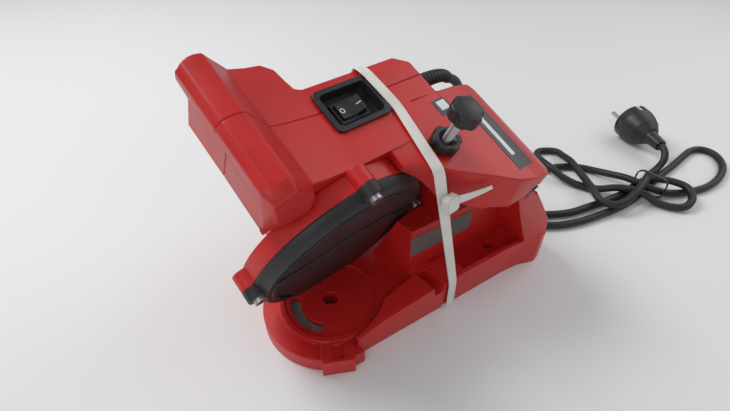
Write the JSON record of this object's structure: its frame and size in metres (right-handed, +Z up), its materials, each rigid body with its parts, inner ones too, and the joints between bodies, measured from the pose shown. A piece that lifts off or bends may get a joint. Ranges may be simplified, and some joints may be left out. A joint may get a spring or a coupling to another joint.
{
  "type": "saw chain sharpener",
  "caption": "Benchtop grinder for saw chains: round vise seat on a low base, and a guarded wheel and motor head that swings down on a slanted hinge.",
  "frame": {"origin": "axis of the vise pivot hole, at the bench", "axes": "+Z up along the pivot hole; +X runs back from the seat to the hinge; -Y is the grinding wheel's side"},
  "size_m": [0.4796, 0.2255, 0.1847],
  "materials": {
    "red_plastic": "satin moulded polypropylene",
    "black_plastic": "fine grained",
    "black_cord": "soft matt sheath",
    "zinc_steel": "zinc plated",
    "bright_steel": "ground",
    "brass": "machined",
    "abrasive": "grainy vitrified grit",
    "ferrite": "fired ceramic",
    "iron": "stamped laminations",
    "copper": "enamelled wire",
    "nylon": "natural nylon",
    "carbon": "pressed carbon"
  },
  "bodies": {
    "base_body": {"base": "red_plastic", "deck": "red_plastic", "pedestal_box": "red_plastic", "near_rail": "red_plastic", "far_rail": "red_plastic", "hinge_pin": "bright_steel", "pin_caps": "black_plastic", "return_spring": "zinc_steel", "cable_tie": "nylon", "cord_drop": "black_cord", "mains_cord": "black_cord", "cord_tie": "black_plastic", "plug_body": "black_plastic", "plug_pins": "bright_steel", "earth_clips": "brass"},
    "head": {"housing_near": "red_plastic", "housing_far": "red_plastic", "housing_screws": "zinc_steel", "wheel_guard": "red_plastic", "guard_cover": "black_plastic", "guard_screws": "zinc_steel", "front_bearing": "bright_steel", "rear_bearing": "bright_steel", "motor_can": "zinc_steel", "magnets": "ferrite", "brush_plate": "nylon", "brush_holders": "brass", "brushes": "carbon", "switch_bezel": "black_plastic", "switch_body": "black_plastic", "stop_insert": "brass", "strain_relief": "black_cord"},
    "spindle": {"motor_shaft": "bright_steel", "armature": "iron", "windings": "copper", "commutator": "copper", "grinding_wheel": "abrasive", "inner_flange": "zinc_steel", "clamp_nut": "zinc_steel"},
    "switch_rocker": {"rocker": "black_plastic"},
    "depth_screw": {"stop_screw": "zinc_steel"},
    "depth_knob": {"stop_knob": "black_plastic"},
    "depth_nut": {"lock_nut": "black_plastic"}
  },
  "joints": [
    {"name": "head_tilt", "type": "hinge", "parent": "base_body", "child": "head", "pos_m": [0.125, -0.02556, 0.09621], "axis": [0, 0.9063, 0.4226], "range_deg": [0, 45], "deforming": ["cord_drop", "cable_tie", "return_spring"]},
    {"name": "wheel_spin", "type": "hinge", "parent": "head", "child": "spindle", "pos_m": [0.0095, -0.00061, 0.06757], "axis": [0, 0.9063, 0.4226], "continuous": true},
    {"name": "rocker_tilt", "type": "hinge", "parent": "head", "child": "switch_rocker", "pos_m": [0.0355, 0.01743, 0.14009], "axis": [0, 0.9063, 0.4226], "range_deg": [0, 20]},
    {"name": "stop_travel", "type": "slide", "parent": "head", "child": "depth_screw", "axis": [0, -0.4226, 0.9063], "range_m": [-0.0105, 0.01]},
    {"name": "stop_turn", "type": "hinge", "parent": "depth_screw", "child": "depth_knob", "pos_m": [0.0675, -0.02703, 0.12422], "axis": [0, -0.4226, 0.9063], "range_deg": [-3605, 3785]},
    {"name": "lock_nut_turn", "type": "hinge", "parent": "head", "child": "depth_nut", "pos_m": [0.0675, -0.02715, 0.12449], "axis": [0, -0.4226, 0.9063], "range_deg": [0, 180]}
  ],
  "couplings": [
    {"joint": "stop_turn", "follows": "stop_travel", "rad_per_m": -6283.2}
  ]
}
